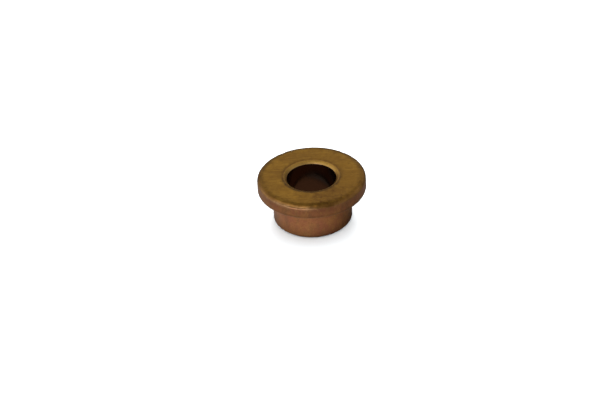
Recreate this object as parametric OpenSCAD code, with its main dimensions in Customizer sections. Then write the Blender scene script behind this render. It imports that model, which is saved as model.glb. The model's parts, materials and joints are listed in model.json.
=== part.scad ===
// Flanged sleeve bushing, pressed and sintered in bronze.
// The whole bushing is one solid of revolution about Z. It stands on the end of its
// barrel, with the flange's thrust face on top. All sizes are in millimetres.

/* [Bore] */
// Diameter of the running bore
bore_d = 10; // [8:0.5:11]
// Leg of the 45 degree chamfer at each mouth of the bore
bore_chamfer = 0.6; // [0.2:0.1:0.8]

/* [Barrel] */
// Outside diameter of the barrel, a press fit in its housing
barrel_d = 16; // [15:0.5:17]
// Length over all, from the barrel's end face to the thrust face
overall_length = 10; // [8:1:30]
// Leg of the 45 degree lead-in chamfer around the end of the barrel
lead_chamfer = 0.5; // [0.2:0.1:0.8]
// Radius of the fillet in the corner between barrel and flange
root_radius = 0.3; // [0.1:0.1:0.5]

/* [Flange] */
// Outside diameter of the flange
flange_d = 22; // [20:0.5:28]
// Thickness of the flange
flange_thickness = 3; // [2:0.5:4]
// Width of the shallow bevel around the thrust face
bevel_width = 0.75; // [0.3:0.05:0.9]
// How far that bevel falls over its width
bevel_drop = 0.2; // [0.1:0.05:0.3]
// Width of the steeper edge break between the bevel and the rim
edge_width = 0.4; // [0.2:0.05:0.5]
// How far the edge break falls over its width
edge_drop = 0.35; // [0.2:0.05:0.5]
// Radius of the rounding between the rim and the back face
back_radius = 0.3; // [0.2:0.1:0.8]

/* [Hidden] */
$fn = 180;
bore_r = bore_d / 2;
barrel_r = barrel_d / 2;
flange_r = flange_d / 2;
// Height of the flange's back face, which rests on the housing
back_z = overall_length - flange_thickness;
// Overlap that lets a cutting shape pass clear through a face
clear = 0.5;

// Each section below is drawn with the radius along X and the height along Y.

// Half of the barrel's section, with the lead-in chamfer at its lower outer corner
module barrel_section() {
    polygon([
        [0, 0],
        [barrel_r - lead_chamfer, 0],
        [barrel_r, lead_chamfer],
        [barrel_r, back_z + clear],
        [0, back_z + clear],
    ]);
}

// Metal that fills the inside corner between barrel and flange with a quarter-round
module root_fillet_section() {
    difference() {
        translate([barrel_r, back_z - root_radius]) square(root_radius);
        translate([barrel_r + root_radius, back_z - root_radius]) circle(root_radius);
    }
}

// Corner of the back face that the rounding takes away
module back_edge_cutter() {
    difference() {
        translate([flange_r - back_radius, back_z - clear])
            square([back_radius + clear, back_radius + clear]);
        translate([flange_r - back_radius, back_z + back_radius]) circle(back_radius);
    }
}

// Half of the flange's section: bevel and edge break above the rim, rounding below it
module flange_section() {
    edge_r = flange_r - edge_width;
    difference() {
        polygon([
            [0, back_z],
            [flange_r, back_z],
            [flange_r, overall_length - bevel_drop - edge_drop],
            [edge_r, overall_length - bevel_drop],
            [edge_r - bevel_width, overall_length],
            [0, overall_length],
        ]);
        back_edge_cutter();
    }
}

// Half of the bore with its two chamfers, running past both end faces
module bore_section() {
    mouth_r = bore_r + bore_chamfer + clear;
    polygon([
        [0, -clear],
        [mouth_r, -clear],
        [bore_r, bore_chamfer],
        [bore_r, overall_length - bore_chamfer],
        [mouth_r, overall_length + clear],
        [0, overall_length + clear],
    ]);
}

module flanged_bushing() {
    color("peru")
        rotate_extrude()
            difference() {
                union() {
                    barrel_section();
                    root_fillet_section();
                    flange_section();
                }
                bore_section();
            }
}

flanged_bushing();
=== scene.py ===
"""Flanged sleeve bushing in sintered bronze, standing on its barrel on a white studio floor.

The CAD frame gives the main sizes. The bushing's surface is turned here as one fine mesh, with the
soft edges, the uneven shoulder, the small dents and the worn flats of a pressed part, and it stands for
the CAD node.
"""
import json
import math
from types import SimpleNamespace

import bpy
import numpy as np
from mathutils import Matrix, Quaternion, Vector, noise


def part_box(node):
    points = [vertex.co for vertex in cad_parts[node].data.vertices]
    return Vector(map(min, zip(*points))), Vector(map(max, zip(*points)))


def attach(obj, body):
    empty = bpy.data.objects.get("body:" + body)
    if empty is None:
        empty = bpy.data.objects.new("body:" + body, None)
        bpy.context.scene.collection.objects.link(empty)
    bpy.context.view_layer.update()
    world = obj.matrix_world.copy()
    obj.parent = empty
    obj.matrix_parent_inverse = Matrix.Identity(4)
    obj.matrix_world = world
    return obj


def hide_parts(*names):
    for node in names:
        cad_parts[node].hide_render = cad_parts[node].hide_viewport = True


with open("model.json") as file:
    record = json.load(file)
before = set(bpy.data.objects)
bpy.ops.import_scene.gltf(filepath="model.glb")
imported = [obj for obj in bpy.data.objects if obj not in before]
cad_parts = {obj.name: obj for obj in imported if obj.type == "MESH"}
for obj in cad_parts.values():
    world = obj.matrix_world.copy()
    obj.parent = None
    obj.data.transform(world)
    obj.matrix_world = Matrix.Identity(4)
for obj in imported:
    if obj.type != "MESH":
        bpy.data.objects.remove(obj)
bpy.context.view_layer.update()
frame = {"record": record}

MM = 0.001
NODE = "flanged_bushing"
mounts = {mount["name"]: mount for mount in frame["record"]["mounts"]}
box_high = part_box(NODE)[1]

# Sizes that the frame gives, in metres
overall_length = box_high.z
flange_r = box_high.x
back_z = mounts["flange_back"]["pos_m"][2]
bore_r = mounts["shaft_bore"]["dims"]["r_mm"] * MM
bore_chamfer = (overall_length - mounts["shaft_bore"]["dims"]["length_mm"] * MM) / 2
barrel_r = mounts["housing_fit"]["dims"]["r_mm"] * MM

# Edge shapes that the CAD model has too, and the places that they give
bevel_width = 0.75 * MM
bevel_drop = 0.20 * MM
edge_width = 0.40 * MM
edge_drop = 0.35 * MM
root_radius = 0.30 * MM
lead_chamfer = 0.50 * MM
edge_r = flange_r - edge_width
bevel_r = edge_r - bevel_width
rim_top = overall_length - bevel_drop - edge_drop
chamfer_top = bore_r + bore_chamfer

# The flange's back edge is worn a little rounder than the 0.3 mm of the CAD model
back_radius = 0.38 * MM


def direction(azimuth, elevation):
    """Unit vector from the bushing towards a place round it. Azimuth 0 is the front, 90 the right."""
    a, e = math.radians(azimuth), math.radians(elevation)
    return Vector((math.sin(a) * math.cos(e), -math.cos(a) * math.cos(e), math.sin(e)))


# ---------------------------------------------------------------- shape

# Steps of the sweep round the axis
SEGMENTS = 480
# Spacing of the section's points along straight runs, and their turn along an arc
FINE_GAP = 0.14 * MM
COARSE_GAP = 0.32 * MM
ARC_STEP = math.radians(7)


def rounded(corner, before, after, radius):
    """Points of the arc that rounds a corner between two straight runs, both ends included."""
    to_before = (before - corner).normalized()
    to_after = (after - corner).normalized()
    half_angle = to_before.angle(to_after) / 2
    reach = radius / math.tan(half_angle)
    centre = corner + (to_before + to_after).normalized() * (radius / math.sin(half_angle))
    start = corner + to_before * reach - centre
    end = corner + to_after * reach - centre
    turn = math.copysign(math.pi - 2 * half_angle, start.x * end.y - start.y * end.x)
    steps = max(2, math.ceil(abs(turn) / ARC_STEP))
    arc = []
    for i in range(steps + 1):
        angle = turn * i / steps
        arc.append(centre + Vector((
            start.x * math.cos(angle) - start.y * math.sin(angle),
            start.x * math.sin(angle) + start.y * math.cos(angle),
        )))
    return arc


def profile():
    """The bushing's section as (radius, height) points, once round from the foot of the bore."""
    # Each corner has its radius, its height, its rounding and the ring spacing of the run after it
    corners = [
        (bore_r, bore_chamfer, 0.10 * MM, COARSE_GAP),
        (bore_r, overall_length - bore_chamfer, 0.10 * MM, FINE_GAP),
        (chamfer_top, overall_length, 1.20 * MM, FINE_GAP),
        (bevel_r, overall_length, 2.50 * MM, FINE_GAP),
        (edge_r, overall_length - bevel_drop, 0.90 * MM, FINE_GAP),
        (flange_r, rim_top, 0.55 * MM, FINE_GAP),
        (flange_r, back_z, back_radius, COARSE_GAP),
        (barrel_r, back_z, root_radius, COARSE_GAP),
        (barrel_r, lead_chamfer, 0.20 * MM, FINE_GAP),
        (barrel_r - lead_chamfer, 0.0, 0.20 * MM, COARSE_GAP),
        (chamfer_top, 0.0, 0.20 * MM, FINE_GAP),
    ]
    points = [Vector(c[:2]) for c in corners]
    arcs = []
    for i, corner in enumerate(corners):
        arcs.append(rounded(points[i], points[i - 1], points[(i + 1) % len(points)], corner[2]))
    section = []
    for i, arc in enumerate(arcs):
        section += arc
        run_from = arc[-1]
        run_to = arcs[(i + 1) % len(arcs)][0]
        steps = max(1, math.ceil((run_to - run_from).length / corners[i][3]))
        section += [run_from.lerp(run_to, k / steps) for k in range(1, steps)]
    return section


def section_normals(section):
    """Outward normals of the section's points."""
    normals = []
    for i, point in enumerate(section):
        along = section[(i + 1) % len(section)] - section[i - 1]
        normals.append(Vector((-along.y, along.x)).normalized())
    return normals


def smoothstep(low, high, value):
    t = min(1.0, max(0.0, (value - low) / (high - low)))
    return t * t * (3 - 2 * t)


# Layers of unevenness: scale per metre, offset of the noise, depth all over, extra depth on the shoulder
UNEVENNESS = [
    (420, Vector((0.0, 0.0, 0.0)), 0.010 * MM, 0.040 * MM),
    (1150, Vector((7.1, 3.3, 5.7)), 0.004 * MM, 0.035 * MM),
    (2100, Vector((1.7, 9.1, 4.3)), 0.0, 0.012 * MM),
]
# Share of the unevenness that the die has left on the barrel and in the bore
BURNISHED_SHARE = 0.25

# Dents knocked into the shoulder: azimuth from the front in degrees, radius, depth
DENTS = [
    (0.5, 0.85 * MM, 0.19 * MM),
    (10.0, 1.20 * MM, 0.09 * MM),
    (19.0, 1.20 * MM, 0.08 * MM),
    (33.0, 0.90 * MM, 0.06 * MM),
    (66.0, 0.90 * MM, 0.05 * MM),
    (141.0, 0.80 * MM, 0.07 * MM),
    (212.0, 1.10 * MM, 0.05 * MM),
    (268.0, 0.70 * MM, 0.06 * MM),
    (309.0, 1.00 * MM, 0.05 * MM),
]
# How far the middle of a dent lies in from the flange's edge and down from its thrust face
DENT_INSET = 0.35 * MM
DENT_DROP = 0.30 * MM

# Flats struck on the upper edge of the rim: azimuth and upward tilt in degrees, depth at the corner
FLATS = [
    (-46.0, 46.0, 0.11 * MM),
    (-33.0, 48.0, 0.14 * MM),
    (-22.0, 29.0, 0.12 * MM),
    (-15.0, 50.0, 0.17 * MM),
    (-8.0, 27.0, 0.13 * MM),
    (6.0, 57.0, 0.20 * MM),
    (27.0, 48.0, 0.10 * MM),
    (152.0, 34.0, 0.10 * MM),
    (187.0, 40.0, 0.10 * MM),
    (219.0, 32.0, 0.10 * MM),
]
# How far to either side of its plane a flat runs softly into the surface round it
FLAT_BLEND = 0.10 * MM


def dent_centres():
    """Each dent as its middle, its radius and its depth."""
    centres = []
    for azimuth, radius, depth in DENTS:
        middle = direction(azimuth, 0) * (flange_r - DENT_INSET)
        middle.z = overall_length - DENT_DROP
        centres.append((middle, radius, depth))
    return centres


def flat_planes():
    """Each flat as its outward normal and its distance from the origin along that normal."""
    corners = ((flange_r, rim_top), (edge_r, overall_length - bevel_drop))
    planes = []
    for azimuth, tilt, depth in FLATS:
        t = math.radians(tilt)
        farthest = max(radius * math.cos(t) + height * math.sin(t) for radius, height in corners)
        planes.append((direction(azimuth, tilt), farthest - depth))
    return planes


def wear_shares(point):
    """How much of the wear reaches a point of the section: on the flange, and on its shoulder."""
    on_flange = smoothstep(back_z, back_z + 1.5 * MM, point.y)
    on_flange *= smoothstep(bore_r, bore_r + 1.2 * MM, point.x)
    on_shoulder = smoothstep(bevel_r - 0.3 * MM, edge_r, point.x)
    on_shoulder *= smoothstep(rim_top - 1.2 * MM, rim_top, point.y)
    return on_flange, on_shoulder


def sink(point, on_flange, on_shoulder, dents, flats):
    """How far the worn surface lies under the turned section at a point. Never negative."""
    depth = 0.0
    uneven_share = BURNISHED_SHARE + (1 - BURNISHED_SHARE) * on_flange
    for scale, offset, all_over, extra in UNEVENNESS:
        level = noise.noise(point * scale + offset) * 0.5 + 0.5
        depth += level * (all_over * uneven_share + extra * on_shoulder)
    for centre, radius, deepest in dents:
        away = (point - centre).length / radius
        if away < 1.0:
            depth += deepest * (1 - away * away) ** 2 * on_flange
    for normal, reach in flats:
        over = point.dot(normal) - reach
        if over > FLAT_BLEND:
            depth += over * on_flange
        elif over > -FLAT_BLEND:
            depth += (over + FLAT_BLEND) ** 2 / (4 * FLAT_BLEND) * on_flange
    return max(0.0, depth)


def turned_mesh():
    """The section swept once round Z, with the wear sunk into it."""
    section = profile()
    normals = section_normals(section)
    shares = [wear_shares(point) for point in section]
    dents = dent_centres()
    flats = flat_planes()
    rings = len(section)
    verts = []
    for segment in range(SEGMENTS):
        angle = 2 * math.pi * segment / SEGMENTS
        out = Vector((math.sin(angle), -math.cos(angle), 0.0))
        # The shoulder is fully worn at the front and hardly at the back
        front_share = 0.55 + 0.45 * math.cos(angle)
        for point, normal, (on_flange, on_shoulder) in zip(section, normals, shares):
            place = out * point.x + Vector((0, 0, point.y))
            down = sink(place, on_flange, on_shoulder * front_share, dents, flats)
            verts.append(place - (out * normal.x + Vector((0, 0, normal.y))) * down)
    faces = []
    for segment in range(SEGMENTS):
        here = segment * rings
        there = (segment + 1) % SEGMENTS * rings
        for ring in range(rings):
            after = (ring + 1) % rings
            faces.append((here + ring, there + ring, there + after, here + after))
    mesh = bpy.data.meshes.new("bushing_surface")
    mesh.from_pydata(verts, [], faces)
    mesh.shade_smooth()
    add_masks(mesh, section, normals)
    return mesh


def band(distance, half_width):
    """1 on a line and nearly 0 beyond twice the half width."""
    return math.exp(-(distance / half_width) ** 2)


def surface_masks(point, normal):
    """What the bronze reads at a point of the section: how it faced in the press, its worn lip with a
    painted highlight, and where shade is painted.
    """
    on_top = smoothstep(rim_top - 0.10 * MM, rim_top + 0.20 * MM, point.y)
    chamfer = smoothstep(-0.25, -0.5, normal.x) * smoothstep(0.2, 0.5, normal.y)
    # Soft rings of painted shade round the mouth and round the thrust face
    round_mouth = 0.68 * band(point.x - chamfer_top - 0.25 * MM, 0.35 * MM)
    round_face = 0.27 * band(point.x - bevel_r - 0.10 * MM, 0.50 * MM)
    # Painted shade low on the rim and under it, at the foot, and in the corner between barrel and flange
    under_rim = band(point.y - back_z - 0.30 * MM, 0.35 * MM) * smoothstep(barrel_r, flange_r, point.x)
    at_foot = smoothstep(0.80 * MM, 0.20 * MM, point.y) * smoothstep(0.2, 0.6, normal.x)
    in_corner = band(point.y - back_z, 0.50 * MM) * band(point.x - barrel_r, 0.25 * MM)
    # The lip where the rim turns into the edge break is rubbed bright and carries a painted highlight
    from_lip = math.hypot(point.x - flange_r + 0.10 * MM, point.y - rim_top + 0.12 * MM)
    return {
        "flat_top": smoothstep(0.90, 0.995, normal.y),
        "shoulder": smoothstep(0.05, 0.5, normal.y) * smoothstep(0.0, 0.2, normal.x),
        "in_bore": smoothstep(-0.6, -0.95, normal.x),
        "mouth": chamfer,
        "shade_rings": on_top * (1 - chamfer) * max(round_mouth, round_face),
        "rim_shade": max(0.75 * under_rim, 0.5 * at_foot, in_corner),
        "worn_and_highlight": 0.8 * band(from_lip, 0.38 * MM),
    }


def add_masks(mesh, section, normals):
    """Store the section's masks on every point of the mesh."""
    masks = [surface_masks(point, normal) for point, normal in zip(section, normals)]
    for name in masks[0]:
        values = np.array([mask[name] for mask in masks], np.float32)
        layer = mesh.attributes.new(name, "FLOAT", "POINT")
        layer.data.foreach_set("value", np.tile(values, SEGMENTS))


# ---------------------------------------------------------------- material

class Nodes:
    """A few short calls for building one node tree."""

    def __init__(self, tree):
        self.tree = tree
        tree.nodes.clear()

    def add(self, kind, inputs=None, **settings):
        made = self.tree.nodes.new("ShaderNode" + kind)
        for name, value in settings.items():
            setattr(made, name, value)
        for socket, value in (inputs or {}).items():
            self.put(made.inputs[socket], value)
        return made

    def put(self, socket, value):
        if isinstance(value, bpy.types.NodeSocket):
            self.tree.links.new(value, socket)
        else:
            socket.default_value = value

    def math(self, operation, a, b=0.0, clamp=False):
        return self.add("Math", {0: a, 1: b}, operation=operation, use_clamp=clamp).outputs[0]

    def product(self, first, *others):
        for other in others:
            first = self.math("MULTIPLY", first, other)
        return first

    def remap(self, value, low, high, to_low=0.0, to_high=1.0):
        sockets = {"Value": value, "From Min": low, "From Max": high, "To Min": to_low, "To Max": to_high}
        return self.add("MapRange", sockets).outputs[0]

    def unit(self, vector):
        return self.add("VectorMath", {0: vector}, operation="NORMALIZE").outputs["Vector"]

    def dot(self, a, b):
        return self.add("VectorMath", {0: a, 1: b}, operation="DOT_PRODUCT").outputs["Value"]

    def distance(self, a, b):
        return self.add("VectorMath", {0: a, 1: b}, operation="DISTANCE").outputs["Value"]

    def mix(self, factor, a, b, blend="MIX"):
        made = self.add("Mix", data_type="RGBA", blend_type=blend)
        self.put(made.inputs["Factor"], factor)
        self.put(made.inputs["A"], a)
        self.put(made.inputs["B"], b)
        return made.outputs["Result"]

    def mask(self, name):
        return self.add("Attribute", attribute_name=name).outputs["Fac"]

    def noise(self, vector, scale, detail=3.0, roughness=0.55):
        sockets = {"Vector": vector, "Scale": scale, "Detail": detail, "Roughness": roughness}
        return self.add("TexNoise", sockets).outputs["Fac"]

    def stretched(self, vector, scale):
        sockets = {"Vector": vector, "Scale": scale}
        return self.add("Mapping", sockets, vector_type="POINT").outputs[0]


# Colours as linear red, green and blue, with alpha
OLIVE = (0.380, 0.194, 0.024, 1)
OLIVE_LIGHT = (0.460, 0.250, 0.038, 1)
OLIVE_DEEP = (0.270, 0.130, 0.0175, 1)
UMBER = (0.160, 0.070, 0.013, 1)
SHOULDER_BRONZE = (0.430, 0.212, 0.055, 1)
MOUTH_GOLD = (0.690, 0.395, 0.082, 1)
COPPER = (0.440, 0.185, 0.070, 1)
COPPER_RED = (0.400, 0.150, 0.072, 1)
COPPER_LIGHT = (0.500, 0.235, 0.082, 1)
COPPER_BROWN = (0.270, 0.135, 0.060, 1)
# Rubbed bronze on the lip, which also paints a highlight there
WORN_AND_HIGHLIGHT_BRONZE = (0.620, 0.370, 0.190, 1)
# Dark brown for the pores, and for painted shade in rings, on the rim and at the foot
GRIME_AND_SHADE = (0.110, 0.060, 0.018, 1)
BORE_OIL = (0.320, 0.215, 0.165, 1)
# These two multiply the colour under them
SPECKLE_TINT = (0.55, 0.50, 0.45, 1)
GRAIN_TINT = (1.35, 1.35, 1.35, 1)

# Middle of the dark patch on the front right of the flange, partly oil stain and partly painted shade
STAIN_AND_SHADE_CENTRE = Vector((0.34, -0.75, 1.0)) * overall_length
# The side on which the lip's wear and painted highlight are brightest and the painted rings of shade are
# darkest
PAINTED_CONTRAST_SIDE = direction(-25, 0)


def bronze_patterns(nodes, place):
    """The patterns that the bronze's colours and its surface share. Scales are per metre."""
    pores = nodes.add("TexVoronoi", {"Vector": place, "Scale": 5200}, feature="F1").outputs["Distance"]
    return SimpleNamespace(
        broad=nodes.noise(place, 95, detail=2, roughness=0.5),
        cloudy=nodes.noise(place, 330, detail=4),
        blotchy=nodes.noise(place, 1100, detail=4, roughness=0.6),
        patches=nodes.noise(nodes.stretched(place, (1, 1, 0.45)), 620, detail=3),
        streaks=nodes.noise(nodes.stretched(place, (1, 1, 0.12)), 1500, detail=3, roughness=0.6),
        scuffs=nodes.noise(nodes.stretched(place, (0.12, 1, 1)), 2400, detail=4, roughness=0.65),
        speckle=nodes.noise(place, 3200, detail=3, roughness=0.6),
        grain=nodes.noise(place, 9000, detail=2, roughness=0.6),
        pore=nodes.remap(pores, 0.26, 0.10),
    )


def clean_colour(nodes, patterns):
    """The metal's colour before wear and dirt: olive face, golden mouth, copper sides."""
    olive = nodes.mix(nodes.remap(patterns.cloudy, 0.38, 0.62), OLIVE_DEEP, OLIVE)
    olive = nodes.mix(nodes.remap(patterns.scuffs, 0.45, 0.70, 0.0, 0.75), olive, OLIVE_LIGHT)
    olive = nodes.mix(nodes.remap(patterns.blotchy, 0.52, 0.72, 0.0, 0.60), olive, OLIVE_DEEP)
    olive = nodes.mix(nodes.remap(patterns.broad, 0.44, 0.60, 0.0, 0.55), olive, OLIVE_DEEP)
    copper = nodes.mix(nodes.remap(patterns.cloudy, 0.38, 0.62), COPPER, COPPER_RED)
    copper = nodes.mix(nodes.remap(patterns.blotchy, 0.50, 0.70, 0.0, 0.75), copper, COPPER_LIGHT)
    copper = nodes.mix(nodes.remap(patterns.streaks, 0.50, 0.72, 0.0, 0.35), copper, COPPER_LIGHT)
    copper = nodes.mix(nodes.remap(patterns.patches, 0.50, 0.64, 0.0, 0.50), copper, COPPER_BROWN)
    colour = nodes.mix(nodes.mask("shoulder"), copper, SHOULDER_BRONZE)
    colour = nodes.mix(nodes.mask("flat_top"), colour, olive)
    return nodes.mix(nodes.mask("mouth"), colour, MOUTH_GOLD)


def stain_and_painted_shade(nodes, patterns, place):
    """1 in the middle of the dark patch, partly stain and partly painted shade, and 0 away from it, with a
    cloudy edge.
    """
    near = nodes.remap(nodes.distance(place, STAIN_AND_SHADE_CENTRE), 6.6 * MM, 1.8 * MM)
    return nodes.math("ADD", near, nodes.remap(patterns.cloudy, 0.3, 0.7, -0.5, 0.3), clamp=True)


def lip_wear_and_highlight(nodes, patterns, stain_and_shade, facing):
    """How brightly the lip of the rim is rubbed and painted with a highlight: in blotches, most on one
    side, and not in the dark patch.
    """
    blotches = nodes.remap(patterns.blotchy, 0.35, 0.60, 0.25, 1.0)
    outside_dark_patch = nodes.math("SUBTRACT", 1.0, stain_and_shade)
    return nodes.product(nodes.mask("worn_and_highlight"), blotches, outside_dark_patch, nodes.remap(facing, 0.2, 0.9, 0.15, 1.0))


def tarnish_and_shade(nodes, patterns, stain_and_shade):
    """How dark the tarnish and painted shade are: cloudy on the shoulder, deepest in the dark patch, faint
    on the sides.
    """
    on_shoulder = nodes.product(nodes.mask("shoulder"), nodes.remap(patterns.cloudy, 0.50, 0.64, 0.0, 0.45))
    in_dark_patch = nodes.product(stain_and_shade, nodes.remap(patterns.blotchy, 0.38, 0.62, 0.42, 0.85))
    on_top_side = nodes.math("MAXIMUM", nodes.mask("flat_top"), nodes.mask("shoulder"))
    share = nodes.remap(on_top_side, 0.0, 1.0, 0.3, 1.0)
    return nodes.product(nodes.math("MAXIMUM", on_shoulder, in_dark_patch), share)


def bronze():
    """Oil-soaked sintered bronze: olive tarnish on the pressed face, redder die-burnished sides."""
    material = bpy.data.materials.new("sintered_bronze")
    material.use_nodes = True
    nodes = Nodes(material.node_tree)
    place = nodes.add("TexCoord").outputs["Object"]
    patterns = bronze_patterns(nodes, place)
    facing = nodes.dot(nodes.unit(nodes.stretched(place, (1, 1, 0))), PAINTED_CONTRAST_SIDE)
    stain_and_shade = stain_and_painted_shade(nodes, patterns, place)
    wear_and_highlight = lip_wear_and_highlight(nodes, patterns, stain_and_shade, facing)

    # Painted shade in rings round the mouth and the thrust face, heaviest on one side
    painted_ring_shade = nodes.product(nodes.mask("shade_rings"), nodes.remap(patterns.blotchy, 0.25, 0.60, 0.35, 0.95))
    painted_ring_shade = nodes.product(painted_ring_shade, nodes.remap(facing, -1.0, 1.0, 0.40, 1.70))
    # Painted shade on the mouth's chamfer, on one side
    mouth_painted_shade = nodes.product(nodes.mask("mouth"), nodes.remap(facing, -0.7, 0.2, 0.0, 0.32))
    # Painted shade low on the rim, at the foot and under the flange
    rim_painted_shade = nodes.product(nodes.mask("rim_shade"), nodes.remap(patterns.cloudy, 0.3, 0.7, 0.30, 0.70))

    # The worn lip, with its painted highlight
    colour = nodes.mix(wear_and_highlight, clean_colour(nodes, patterns), WORN_AND_HIGHLIGHT_BRONZE)
    # Tarnish, with painted shade in the dark patch
    colour = nodes.mix(tarnish_and_shade(nodes, patterns, stain_and_shade), colour, UMBER)
    colour = nodes.mix(nodes.math("MAXIMUM", painted_ring_shade, mouth_painted_shade), colour, GRIME_AND_SHADE)
    colour = nodes.mix(rim_painted_shade, colour, GRIME_AND_SHADE)
    colour = nodes.mix(nodes.mask("in_bore"), colour, BORE_OIL)
    colour = nodes.mix(nodes.product(patterns.pore, 0.45), colour, GRIME_AND_SHADE)
    speckles = nodes.remap(patterns.speckle, 0.35, 0.65, 0.0, 0.30)
    colour = nodes.mix(speckles, colour, SPECKLE_TINT, "MULTIPLY")
    grains = nodes.remap(patterns.grain, 0.3, 0.7, 0.0, 0.40)
    colour = nodes.mix(grains, colour, GRAIN_TINT, "MULTIPLY")

    rough = nodes.remap(patterns.blotchy, 0.3, 0.7, 0.36, 0.46)
    rough = nodes.math("ADD", rough, nodes.product(painted_ring_shade, 0.12))
    rough = nodes.math("SUBTRACT", rough, nodes.product(wear_and_highlight, 0.08))
    rough = nodes.math("SUBTRACT", rough, nodes.product(nodes.mask("in_bore"), 0.28))

    height = nodes.product(patterns.grain, 0.35)
    height = nodes.math("ADD", height, nodes.product(patterns.speckle, 0.8))
    height = nodes.math("SUBTRACT", height, nodes.product(patterns.pore, 0.8))
    bump = nodes.add("Bump", {"Height": height, "Strength": 0.35, "Distance": 0.02 * MM})

    shader = nodes.add("BsdfPrincipled", {
        "Base Color": colour, "Metallic": 1.0, "Roughness": rough, "Normal": bump.outputs[0],
    })
    nodes.add("OutputMaterial", {"Surface": shader.outputs[0]})
    return material


bushing = bpy.data.objects.new("bronze_bushing", turned_mesh())
bpy.context.scene.collection.objects.link(bushing)
bushing.data.materials.append(bronze())
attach(bushing, "root")
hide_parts(NODE)


# ---------------------------------------------------------------- camera

CAMERA_DISTANCE = 0.350
CAMERA_ELEVATION = math.radians(34.9)
CAMERA_ROLL = math.radians(-2.80)
FOCAL_LENGTH_MM = 103.6
SENSOR_WIDTH_MM = 36.0
# The picture's centre lies left of and below the bushing's middle
AIM_LEFT = 2.483 * MM
AIM_BELOW = 0.89 * MM


def add_camera():
    data = bpy.data.cameras.new("camera")
    data.lens = FOCAL_LENGTH_MM
    data.sensor_width = SENSOR_WIDTH_MM
    data.clip_start = 0.01
    data.clip_end = 10.0
    camera = bpy.data.objects.new("camera", data)
    bpy.context.scene.collection.objects.link(camera)
    forward = Vector((0, math.cos(CAMERA_ELEVATION), -math.sin(CAMERA_ELEVATION)))
    turn = forward.to_track_quat("-Z", "Y") @ Quaternion((0, 0, 1), CAMERA_ROLL)
    aim = Vector((0, 0, overall_length / 2)) + turn @ Vector((-AIM_LEFT, -AIM_BELOW, 0))
    camera.rotation_mode = "QUATERNION"
    camera.rotation_quaternion = turn
    camera.location = aim - forward * CAMERA_DISTANCE
    bpy.context.scene.camera = camera


# ---------------------------------------------------------------- studio

# Softboxes for the metal to mirror: name, azimuth and elevation in degrees, distance, width and height
# in metres, and radiance
SOFTBOXES = [
    ("key_softbox", -31, 18, 0.40, 0.22, 0.20, 2.20),
    ("front_top_panel", -32, 49, 0.45, 0.80, 0.26, 0.61),
    ("right_panel", 80, 40, 0.45, 0.50, 0.26, 0.26),
    ("left_panel", -102, 24, 0.45, 0.40, 0.30, 0.56),
    ("back_panel", 180, 40, 0.50, 0.50, 0.21, 0.71),
    ("overhead_panel", 180, 68, 0.50, 0.60, 0.24, 0.34),
]
# The light behind the bushing, in the same terms
FLOOR_LIGHT = ("floor_light", 180, 42, 0.60, 0.38, 0.40, 6.90)

WHITE = (1.0, 1.0, 1.0, 1)
# Brightness of the white surroundings, as the floor gets it and as the metal mirrors it
WORLD_STRENGTH = 1.71
WORLD_IN_METAL = 0.20


def add_softbox(name, azimuth, elevation, distance, width, height, radiance):
    """A softbox that faces the bushing. Its power is set from how bright its front looks."""
    data = bpy.data.lights.new(name, "AREA")
    data.shape = "RECTANGLE"
    data.size = width
    data.size_y = height
    data.energy = radiance * math.pi * width * height
    lamp = bpy.data.objects.new(name, data)
    bpy.context.scene.collection.objects.link(lamp)
    lamp.location = direction(azimuth, elevation) * distance
    lamp.rotation_mode = "QUATERNION"
    lamp.rotation_quaternion = lamp.location.to_track_quat("Z", "Y")
    lamp.visible_diffuse = False
    return lamp


def add_lights():
    """Softboxes that only the metal sees, and a light that only the floor sees."""
    for softbox in SOFTBOXES:
        add_softbox(*softbox)
    # It whitens the floor and leaves the soft shadow in front of the bushing
    floor_light = add_softbox(*FLOOR_LIGHT)
    floor_light.visible_diffuse = True
    floor_light.visible_glossy = False


def add_world():
    """White surroundings for the floor and the background, and dimmer ones in the metal's reflections."""
    world = bpy.data.worlds.new("studio")
    bpy.context.scene.world = world
    world.use_nodes = True
    nodes = Nodes(world.node_tree)
    in_reflection = nodes.add("LightPath").outputs["Is Glossy Ray"]
    strength = nodes.remap(in_reflection, 0.0, 1.0, WORLD_STRENGTH, WORLD_IN_METAL)
    background = nodes.add("Background", {"Color": WHITE, "Strength": strength})
    nodes.add("OutputWorld", {"Surface": background.outputs[0]})


def flat_plane(name, half, height):
    """A square of the stage, level and centred on the bushing's axis."""
    mesh = bpy.data.meshes.new(name)
    corners = [(-half, -half, height), (half, -half, height), (half, half, height), (-half, half, height)]
    mesh.from_pydata(corners, [], [(0, 1, 2, 3)])
    plane = bpy.data.objects.new(name, mesh)
    bpy.context.scene.collection.objects.link(plane)
    return plane


# A slightly cool white, which evens out the warm light that the bronze throws on the floor
FLOOR_WHITE = (0.900, 0.930, 0.945, 1)
# Half the floor's width
FLOOR_HALF = 3.0


def add_floor():
    floor = flat_plane("floor", FLOOR_HALF, 0.0)
    material = bpy.data.materials.new("white_floor")
    material.use_nodes = True
    nodes = Nodes(material.node_tree)
    shader = nodes.add("BsdfDiffuse", {"Color": FLOOR_WHITE})
    nodes.add("OutputMaterial", {"Surface": shader.outputs[0]})
    floor.data.materials.append(material)
    floor.visible_glossy = False


# Half the width of the card that the metal mirrors in place of the floor, and how far below the floor
# the card lies
CARD_HALF = 0.30
CARD_DROP = 0.02 * MM
# The side on which the card is brightest
BRIGHT_DIRECTION = direction(-38, 0)
# Its brightness on the dim side, and on the bright side up to the near reach and from the far reach on
DIM_SIDE = 0.235
BRIGHT_SIDE_NEAR = 0.73
BRIGHT_SIDE_FAR = 0.40
NEAR_REACH = 14 * MM
FAR_REACH = 23 * MM
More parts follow.
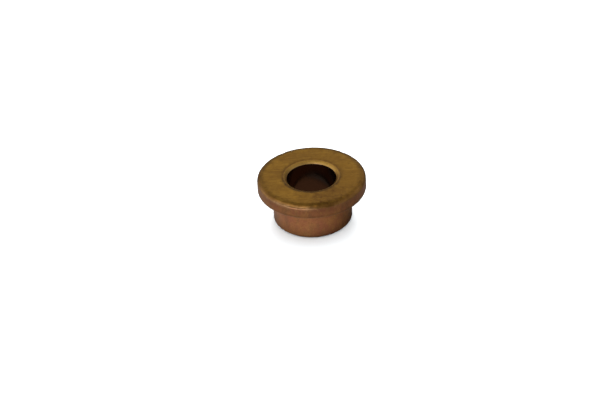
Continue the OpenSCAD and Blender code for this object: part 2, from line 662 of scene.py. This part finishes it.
# Middle of the shadow where the barrel meets the floor, and how far out it starts and stops fading
SHADOW_CENTRE = (0.5 * MM, 0.2 * MM, 0.0)
SHADOW_INNER = 7.4 * MM
SHADOW_OUTER = 12.4 * MM
# Middle of the light that falls through the bore onto the floor, tinted by the bronze on its way
LIT_SPOT = (0.9 * MM, 0.7 * MM, 0.0)
LIT_TINT = (0.94, 0.55, 0.33, 1)
# Brightness of the floor under the bore, away from that light and in it
HOLE_DIM = 0.05
HOLE_LIT = 0.10
# Tint of the floor that the bronze throws its own light on
WARM_BOUNCE = (1.0, 0.96, 0.80, 1)


def add_reflected_floor():
    """What the metal mirrors in place of the floor: bright to the left, falling off to the right."""
    card = flat_plane("reflected_floor", CARD_HALF, -CARD_DROP)
    material = bpy.data.materials.new("reflected_floor")
    material.use_nodes = True
    nodes = Nodes(material.node_tree)
    place = nodes.add("TexCoord").outputs["Object"]
    radius = nodes.add("VectorMath", {0: place}, operation="LENGTH").outputs["Value"]
    towards_light = nodes.dot(nodes.unit(place), BRIGHT_DIRECTION)
    near_side = nodes.remap(towards_light, -0.40, 0.85, DIM_SIDE, BRIGHT_SIDE_NEAR)
    far_side = nodes.remap(towards_light, -0.40, 0.85, DIM_SIDE, BRIGHT_SIDE_FAR)
    outside = nodes.remap(radius, NEAR_REACH, FAR_REACH)
    side = nodes.math("ADD", near_side, nodes.product(outside, nodes.math("SUBTRACT", far_side, near_side)))
    contact = nodes.remap(nodes.distance(place, SHADOW_CENTRE), SHADOW_INNER, SHADOW_OUTER)
    from_spot = nodes.distance(place, LIT_SPOT)
    in_hole = nodes.math("LESS_THAN", radius, bore_r)
    inside = nodes.remap(from_spot, 4.9 * MM, 3.6 * MM, HOLE_DIM, HOLE_LIT)
    strength = nodes.math("MAXIMUM", nodes.product(side, contact), nodes.product(inside, in_hole))
    whiteness = nodes.math("MAXIMUM", nodes.remap(towards_light, -0.2, 0.8), outside)
    colour = nodes.mix(whiteness, WARM_BOUNCE, WHITE)
    colour = nodes.mix(nodes.product(in_hole, nodes.remap(from_spot, 5.4 * MM, 4.4 * MM)), colour, LIT_TINT)
    glow = nodes.add("Emission", {"Color": colour, "Strength": strength})
    nodes.add("OutputMaterial", {"Surface": glow.outputs[0]})
    card.data.materials.append(material)
    card.visible_camera = False
    card.visible_diffuse = False
    card.visible_shadow = False
    card.visible_transmission = False


add_camera()
add_world()
add_floor()
add_reflected_floor()
add_lights()
bpy.context.scene.view_settings.view_transform = "Standard"
